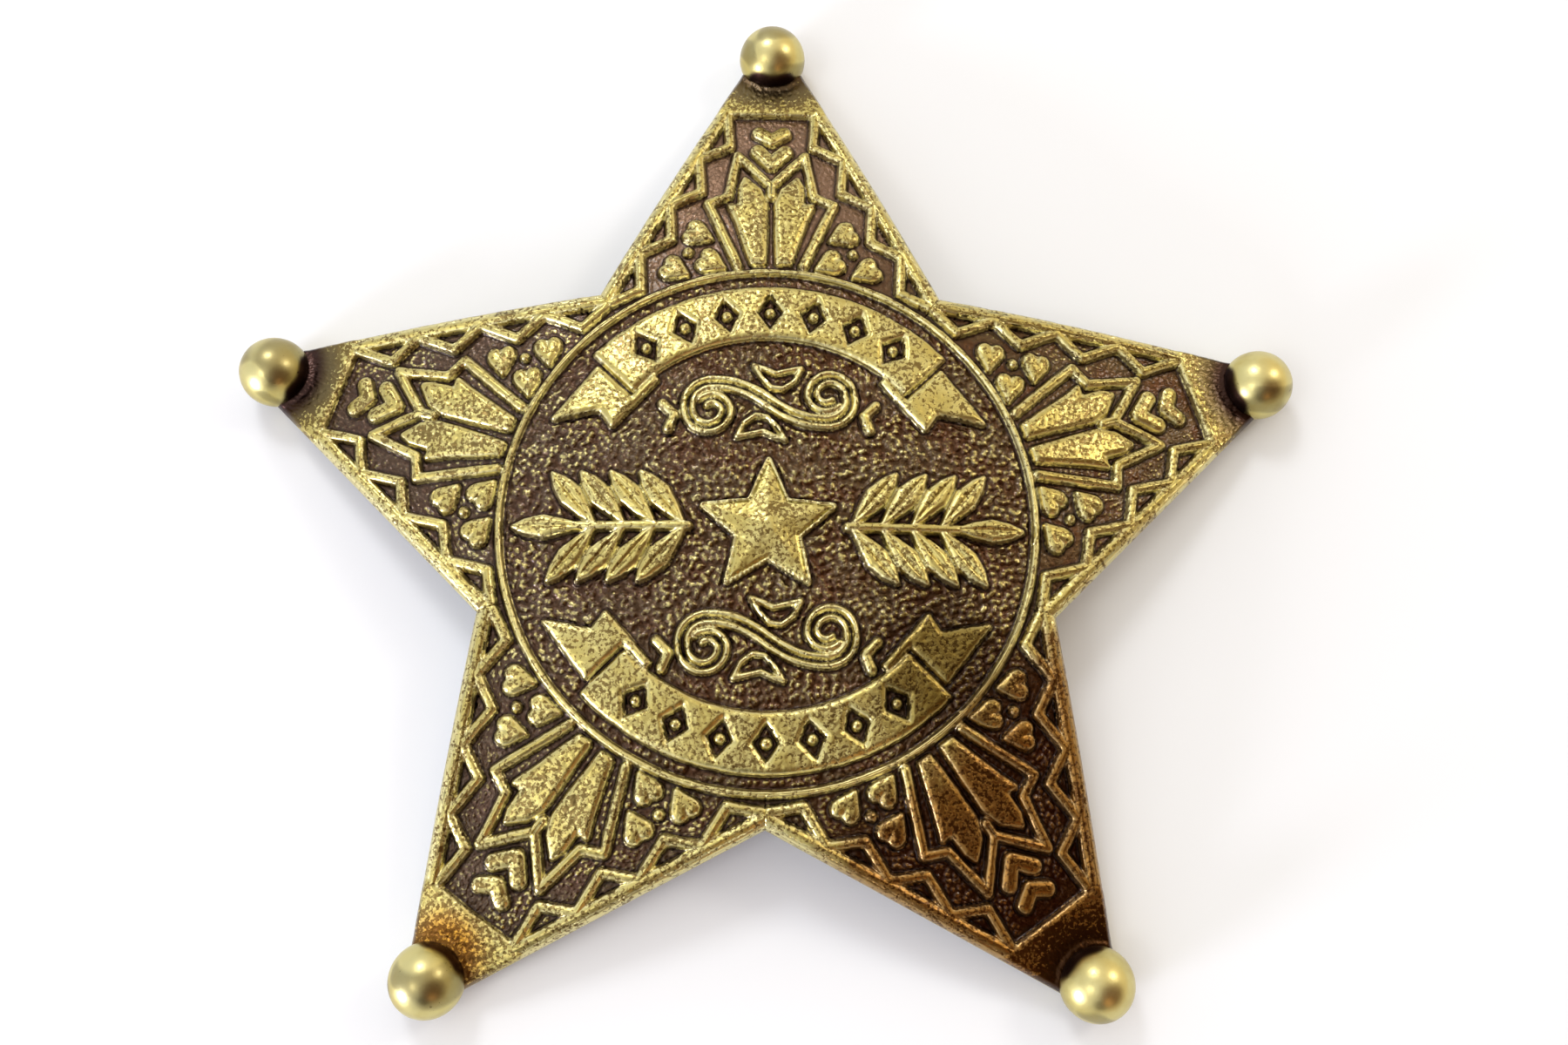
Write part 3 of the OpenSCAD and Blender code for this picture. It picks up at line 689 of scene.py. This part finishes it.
# darker round each ball: partly tarnish, partly painted shade where the ball stands on the arm
tarnish_and_shade = 1 - smooth((from_ball - ball_d / 2) / neck_w)
neck_dark = (0.75, 1.0, 0.3, 0.7, 0.95)  # how dark each arm is round its ball: partly tarnish, partly painted shade
sandy = (0.3, 0.65, 1.0, 0.65, 0.45)  # how much of the sand's grain each arm shows
arm_brass = antique_brass("antique_brass_arm", 0.035, specks=0.03)
for k in range(5):
    here = turned(arm, 72 * k)
    wobble = 0.03 * lumps(here, 0.8, 1)
    plan, depth = drawn_to_lines(here, relief.depth + wobble * free, turned(toward, 72 * k),
                                 row, column, free)
    # the ground of an arm is smoother, with grains of 0.36 mm that are weak in patches
    grain = grains(plan, 0.36, 12) * smooth((-depth - 0.22) / 0.16)
    grain *= sandy[k] * (0.4 + 0.6 * smooth(lumps(plan, 3.0, 15) * 1.5 + 0.5))
    sand = 0.12 * grain + 0.05 * sandy[k] * grains(plan, 0.3, 13)
    sand += 0.03 * lumps(plan, 1.3, 14) - 0.07
    outside = inset < rim_bevel
    depth = np.where(outside & (depth < shoulder), shoulder, depth)
    points, up = cast_surface(plan, depth, collar - edge_drop, sand, rubbed_top(plan, depth))
    arm_face = closed_casting(
        f"arm_face_{k + 1}", points.reshape(*arm_shape[:2], 3),
        {"relief": up + (1 - up) * (0.04 + 0.5 * grain), "depth": depth, "tarnish_and_shade": tarnish_and_shade * neck_dark[k]},
        turned([[0, arm_middle]], 72 * k)[0],
    )
    finished(arm_face, arm_brass)

# A ball is cast on the end of each arm. It is smooth, with a painted highlight on top, painted shade
# underneath and on the side toward its arm, and blotches of tarnish.
ball_rows, ball_columns, ball_r = 40, 72, ball_d / 2


def closed_rings(rings, first_pole, last_pole):
    """Points and triangles of a closed solid from rings of equal length, one after the other,
    with a pole before the first and after the last."""
    count = rings.shape[1]
    body = rings.reshape(-1, 3)
    index = np.arange(len(body)).reshape(-1, count)
    onward = np.roll(index, -1, axis=1)
    faces = np.concatenate([
        np.stack([index[:-1], onward[:-1], onward[1:]], -1).reshape(-1, 3),
        np.stack([index[:-1], onward[1:], index[1:]], -1).reshape(-1, 3),
        np.c_[onward[0], index[0], np.full(count, len(body))],
        np.c_[index[-1], onward[-1], np.full(count, len(body) + 1)],
    ])
    return np.concatenate([body, [first_pole, last_pole]]), faces


def round_solid(profile, columns, centre):
    """A closed solid of revolution about a vertical axis. The profile is a list of radius and
    height from the bottom pole to the top pole, both on the axis."""
    profile = np.asarray(profile, float)
    angle = np.arange(columns) / columns * 2 * np.pi
    ring = np.stack([np.cos(angle), np.sin(angle)], -1)
    radius, height = profile[1:-1, :1, None], profile[1:-1, 1:, None]
    rings = np.concatenate([radius * ring, np.broadcast_to(height, (len(height), columns, 1))], -1)
    points, faces = closed_rings(rings, [0, 0, profile[0, 1]], [0, 0, profile[-1, 1]])
    return points + centre, faces


def joined(solids):
    """Several closed solids as the points and triangles of one mesh."""
    starts = np.cumsum([0] + [len(points) for points, _ in solids[:-1]])
    faces = [faces + start for (_, faces), start in zip(solids, starts)]
    return np.concatenate([points for points, _ in solids]), np.concatenate(faces)


rise = np.radians(np.linspace(-90, 90, ball_rows + 1))
ball_profile = np.c_[np.cos(rise), np.sin(rise)] * ball_r
ball_at = [turned([[0, star_r]], 72 * k)[0] for k in range(5)]
balls = [round_solid(ball_profile, ball_columns, [*spot, ball_r]) for spot in ball_at]
points, faces = joined(balls)
middle = np.repeat(ball_at, len(balls[0][0]), axis=0)
off = points - np.c_[middle, np.full(len(points), ball_r)]
uneven = 1 - 0.006 * (1 + lumps(points[:, :2] + points[:, 2:], 1.1, 21)) * 0.5
points += off * (uneven - 1)[:, None]
height = off[:, 2] / ball_r
inward = -(off[:, :2] * middle).sum(1) / star_r / ball_r
# painted shade: darker underneath and on the side toward the arm; the blotches are tarnish
low = smooth((0.35 - height) / 0.9)
tarnish_and_shade = smooth((inward - 0.45) / 0.35) * smooth((0.9 - height) / 0.5)
blotches = 0.68 * smooth(0.45 + 1.1 * lumps(points[:, :2] + 0.8 * points[:, 2:], 1.5, 22))
tip_balls = solid("tip_balls", points, faces, {
    # the depth falls toward the top, which paints a pale highlight on the ball's top
    "relief": np.ones(len(points)), "depth": 0.22 - 0.14 * smooth(height),
    "tarnish_and_shade": np.clip(np.max([tarnish_and_shade, 0.75 * low, blotches], axis=0), 0, 1),
})
ball_brass = antique_brass("antique_brass_ball", 0.01, specks=-0.3, polish=-0.04, painted_reflections=0.0)
finished(tip_balls, ball_brass)

# The back of the casting is a smooth hollow of one thickness that follows the dome. Its edge
# is the lower half of the star's side wall, below the parting line.
end_w = (tip[1] - arm_end) * corner[0] / (tip[1] - corner[1])
end_cells, side_cells, back_rows = 4, 60, 56
edge_round, core_drop = 0.16, 0.4
arm_corner = np.array([end_w, arm_end])
down_side = np.linspace(0, 1, side_cells + 1)[:-1, None]
half_outline = np.vstack([
    np.c_[np.linspace(0, end_w, end_cells + 1)[:-1], np.full(end_cells, arm_end)],
    arm_corner + down_side * (corner - arm_corner),
])
arm_outline = np.vstack([half_outline[:0:-1] * [-1, 1], half_outline])
arm_outline = np.vstack([corner * [-1, 1], arm_outline])
outline = np.vstack([turned(arm_outline, -72 * k) for k in range(5)])[::-1]


def inset_outline(d):
    """The star's outline drawn in by d: the same star, smaller in the same share as its sides."""
    return outline * (side_d - d) / side_d


shares = np.linspace(0, 1, back_rows + 1)[1:, None, None]
hollow = inset_outline(edge_round)[None] * shares
hollow = np.concatenate([hollow, on_dome(hollow, back_r)[..., None]], -1)
rounded = []
for a in np.radians((30, 60, 90)):
    ring = inset_outline(edge_round * (1 - sin(a)))
    rounded.append(np.c_[ring, on_dome(outline, back_r) + edge_round * (1 - cos(a))])
top_edge = np.c_[outline, on_dome(outline, ground_r - skirt_h)]
core_r = ground_r - core_drop  # inside the plate, where nothing of it shows
core = [np.c_[outline * share, on_dome(outline * share, core_r)] for share in (0.75, 0.5, 0.25)]
points, faces = closed_rings(np.stack([*hollow, *rounded, top_edge, *core]),
                             [0, 0, on_dome(np.zeros(2), back_r)],
                             [0, 0, on_dome(np.zeros(2), core_r)])
on_back = np.arange(len(points)) < len(outline) * back_rows
plan = points[:, :2]
points[:, 2] += np.where(on_back, 0.04 * lumps(plan, 1.2, 31) + 0.03 * grains(plan, 0.6, 32), 0)
casting_back = solid("casting_back", points, faces, {
    "relief": np.where(on_back, 0.22, 0.8),
    "depth": np.full(len(points), -0.8),
    "tarnish_and_shade": np.zeros(len(points)),
})
back_brass = antique_brass("antique_brass_back", 0.03, painted_reflections=0.0)
finished(casting_back, back_brass)

# Two pads stand in the hollow back. On each a rivet is cast, which goes through the bar of the
# brooch pin and is headed over.
pad_x, pad_d, rivet_d, bar_drop, bar_t = 9.0, 4.0, 1.5, 1.1, 0.8
bar_top = dome_z + back_r - bar_drop
bar_low = bar_top - bar_t
rivet_end = bar_low - 0.3
pad_top = dome_z + back_r + 0.3
pad_r, rivet_r = pad_d / 2, rivet_d / 2
pad_profile = [
    [0, rivet_end], [0.35, rivet_end + 0.02], [0.6, rivet_end + 0.1],
    [rivet_r - 0.02, rivet_end + 0.24], [rivet_r, rivet_end + 0.4],
    [rivet_r, bar_top - 0.06], [rivet_r + 0.06, bar_top],
    [pad_r - 0.12, bar_top], [pad_r - 0.03, bar_top + 0.05], [pad_r, bar_top + 0.14],
    [pad_r + 0.04, bar_top + 0.5], [pad_r + 0.25, bar_top + 0.9], [pad_r + 0.25, pad_top],
    [0, pad_top],
]
points, faces = joined([round_solid(pad_profile, 48, [x, 0, 0]) for x in (-pad_x, pad_x)])
rivet_pads = solid("rivet_pads", points, faces, {
    "relief": np.full(len(points), 0.6),
    "depth": np.full(len(points), -0.8),
    "tarnish_and_shade": np.zeros(len(points)),
})
finished(rivet_pads, back_brass)

# The brooch pin is bent from nickel-plated steel: a flat bar with a rolled catch at one end and a
# knuckle at the other, from which the sharpened wire springs.
plating, stained_plating = (0.62, 0.61, 0.58, 1), (0.40, 0.37, 0.32, 1)
steel = bpy.data.materials.new("nickel_plated_steel")
steel.use_nodes = True
tree = steel.node_tree
place = node(tree, "ShaderNodeTexCoord").outputs["Object"]
along = node(tree, "ShaderNodeMapping", {"Vector": place, "Scale": (300.0, 6000.0, 6000.0)}).outputs[0]
drawn = noise(tree, along, 1.0, 2.0)
stains = noise(tree, place, 500, 3.0)
shader = tree.nodes["Principled BSDF"]
shader.inputs["Metallic"].default_value = 1.0
tree.links.new(mixed(tree, step_up(tree, stains, 0.4, 0.75), plating, stained_plating),
               shader.inputs["Base Color"])
tree.links.new(maths(tree, "MULTIPLY_ADD", drawn, 0.25, 0.22), shader.inputs["Roughness"])
tree.links.new(node(tree, "ShaderNodeBump", {"Height": drawn, "Distance": 0.01 * MM}).outputs[0],
               shader.inputs["Normal"])
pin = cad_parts["brooch_pin"]
pin.data.materials.clear()
pin.data.materials.append(steel)

# The badge lies on a plain white table under soft studio light.
floor_half = 0.6
floor_mesh = bpy.data.meshes.new("floor")
floor_corners = [(-1, -1), (1, -1), (1, 1), (-1, 1)]
floor_mesh.from_pydata([(x * floor_half, y * floor_half, 0) for x, y in floor_corners], [], [(0, 1, 2, 3)])
floor = bpy.data.objects.new("floor", floor_mesh)
bpy.context.scene.collection.objects.link(floor)
paper = bpy.data.materials.new("white_table")
paper.use_nodes = True
paper.node_tree.nodes["Principled BSDF"].inputs["Base Color"].default_value = (0.90, 0.94, 1.0, 1)
paper.node_tree.nodes["Principled BSDF"].inputs["Roughness"].default_value = 0.85
floor_mesh.materials.append(paper)


def soft_light(name, place, size, power, color=(1, 1, 1)):
    """A square lamp of this size in metres, at this place, turned towards the badge."""
    lamp = bpy.data.lights.new(name, "AREA")
    lamp.size, lamp.energy, lamp.color = size, power, color
    held = bpy.data.objects.new(name, lamp)
    held.location = place
    held.rotation_euler = (-Vector(place)).to_track_quat("-Z", "Y").to_euler()
    bpy.context.scene.collection.objects.link(held)


soft_light("key", (-0.10, 0.22, 0.28), 0.08, 0.30)
soft_light("left", (-0.20, -0.12, 0.32), 0.09, 0.12, (1.0, 0.96, 0.84))
soft_light("window", (-0.34, -0.24, 0.08), 0.10, 1.25, (0.84, 0.84, 1.0))
soft_light("fill", (0.24, 0.12, 0.24), 0.07, 0.18, (1.0, 0.93, 0.82))
soft_light("warm", (0.16, -0.34, 0.24), 0.12, 0.05, (1.0, 0.50, 0.20))

# The studio's walls are bright behind the badge, warmer to the right, and dark brown in two
# places on the photographer's side.
cool_wall, warm_wall, backdrop = (0.97, 0.97, 1.0, 1), (1.04, 0.86, 0.56, 1), (1, 1, 1, 1)
dark_places = [
    ((0.52, -0.46, 0.72), 22, 46, (0.16, 0.070, 0.032, 1)),
    ((0.04, -0.86, 0.50), 10, 25, (0.05, 0.036, 0.030, 1)),
]
world = bpy.data.worlds.new("studio")
world.use_nodes = True
tree = world.node_tree
toward = node(tree, "ShaderNodeTexCoord").outputs["Generated"]
right = node(tree, "ShaderNodeSeparateXYZ", {0: toward}).outputs[0]
wall = mixed(tree, step_up(tree, right, -0.5, 0.8), cool_wall, warm_wall)
for place, full, edge, color in dark_places:
    near = node(tree, "ShaderNodeVectorMath", {0: toward, 1: Vector(place).normalized()},
                operation="DOT_PRODUCT").outputs["Value"]
    wall = mixed(tree, step_up(tree, near, cos(radians(edge)), cos(radians(full))), wall, color)
seen = node(tree, "ShaderNodeLightPath").outputs["Is Camera Ray"]
wall = mixed(tree, seen, wall, backdrop)  # the camera itself sees white paper
background = tree.nodes["Background"]
tree.links.new(wall, background.inputs["Color"])
background.inputs["Strength"].default_value = 1.0
bpy.context.scene.world = world
bpy.context.scene.view_settings.view_transform = "Standard"

# The camera looks down on the badge as the photographer's did, leaning about 14 degrees towards
# the lower arms.
turn_x, turn_y, turn_z = radians(-13.888), radians(1.018), radians(-0.655)
distance, shift_x, shift_y, lens = 93.517, -1.012, 0.439, 33.253
look = Matrix.Identity(3)
for turn, axis in ((turn_x, "X"), (turn_y, "Y"), (turn_z, "Z")):
    look = Matrix.Rotation(turn, 3, axis) @ look
look.transpose()
eye = look @ Vector((-shift_x, -shift_y, distance)) + Vector((0, middle_y, face_top))
camera_data = bpy.data.cameras.new("camera")
camera_data.lens, camera_data.sensor_width = lens, 36
camera_data.clip_start = 0.005
camera = bpy.data.objects.new("camera", camera_data)
camera.matrix_world = Matrix.Translation(eye * MM) @ look.to_4x4()
bpy.context.scene.collection.objects.link(camera)
bpy.context.scene.camera = camera
